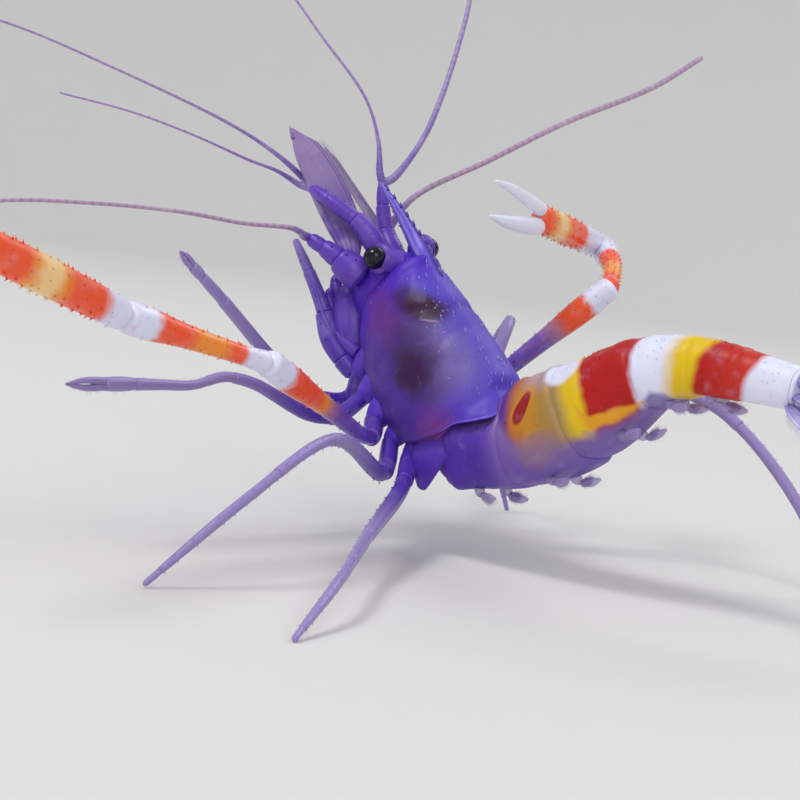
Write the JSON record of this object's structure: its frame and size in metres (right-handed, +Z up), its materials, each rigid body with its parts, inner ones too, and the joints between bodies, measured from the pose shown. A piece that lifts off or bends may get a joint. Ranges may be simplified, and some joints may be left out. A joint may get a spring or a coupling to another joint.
{
  "type": "boxer shrimp",
  "caption": "Life-size still model of a banded boxer shrimp standing on its rear walking legs, claws spread, tail raised, long feelers fanned out.",
  "frame": {"origin": "on the floor, below the middle of the whole animal with its legs, claws and feelers", "axes": "+Z up; head towards -X; the animal's left towards -Y"},
  "size_m": [0.0538, 0.0708, 0.0391],
  "materials": {
    "shell_violet": "moist satin shell",
    "limb_lilac": "moist satin shell",
    "shell_orange": "moist satin shell",
    "shell_amber": "moist satin shell",
    "shell_white": "moist satin shell",
    "feeler_cream": "moist satin shell",
    "eye_black": "wet gloss"
  },
  "bodies": {
    "root": {"carapace": "shell_violet", "rostrum": "shell_violet", "eyestalk_left": "shell_violet", "eye_left": "eye_black", "eyestalk_right": "shell_violet", "eye_right": "eye_black", "antennule_peduncle_left": "shell_violet", "antennule_peduncle_right": "shell_violet", "antennule_outer_left": "limb_lilac", "antennule_inner_left": "limb_lilac", "antennule_outer_right": "limb_lilac", "antennule_inner_right": "limb_lilac", "antenna_peduncle_left": "shell_violet", "scaphocerite_left": "limb_lilac", "antenna_left": "feeler_cream", "antenna_peduncle_right": "shell_violet", "scaphocerite_right": "limb_lilac", "antenna_right": "feeler_cream", "mouthparts": "shell_violet", "maxilliped_left": "limb_lilac", "maxilliped_right": "limb_lilac", "leg_1_left": "limb_lilac", "leg_1_right": "limb_lilac", "leg_2_left": "limb_lilac", "leg_2_right": "limb_lilac", "leg_3_left_arm": "shell_orange", "leg_3_left_carpus": "shell_orange", "leg_3_left_palm": "shell_orange", "leg_3_left_finger": "shell_white", "leg_3_right_arm": "shell_orange", "leg_3_right_carpus": "shell_orange", "leg_3_right_palm": "shell_orange", "leg_3_right_finger": "shell_white", "leg_4_left": "limb_lilac", "leg_5_left": "limb_lilac", "leg_4_right": "limb_lilac", "leg_5_right": "limb_lilac", "somite_1": "shell_amber", "somite_2": "shell_amber", "somite_3": "shell_orange", "somite_4": "shell_amber", "somite_5": "shell_orange", "somite_6": "shell_white", "telson": "shell_white", "endopod_left": "shell_white", "exopod_left": "shell_white", "endopod_right": "shell_white", "exopod_right": "shell_white", "pleopod_1_left": "limb_lilac", "pleopod_1_right": "limb_lilac", "pleopod_2_left": "limb_lilac", "pleopod_2_right": "limb_lilac", "pleopod_3_left": "limb_lilac", "pleopod_3_right": "limb_lilac", "pleopod_4_left": "limb_lilac", "pleopod_4_right": "limb_lilac", "pleopod_5_left": "limb_lilac", "pleopod_5_right": "limb_lilac"}
  },
  "joints": []
}
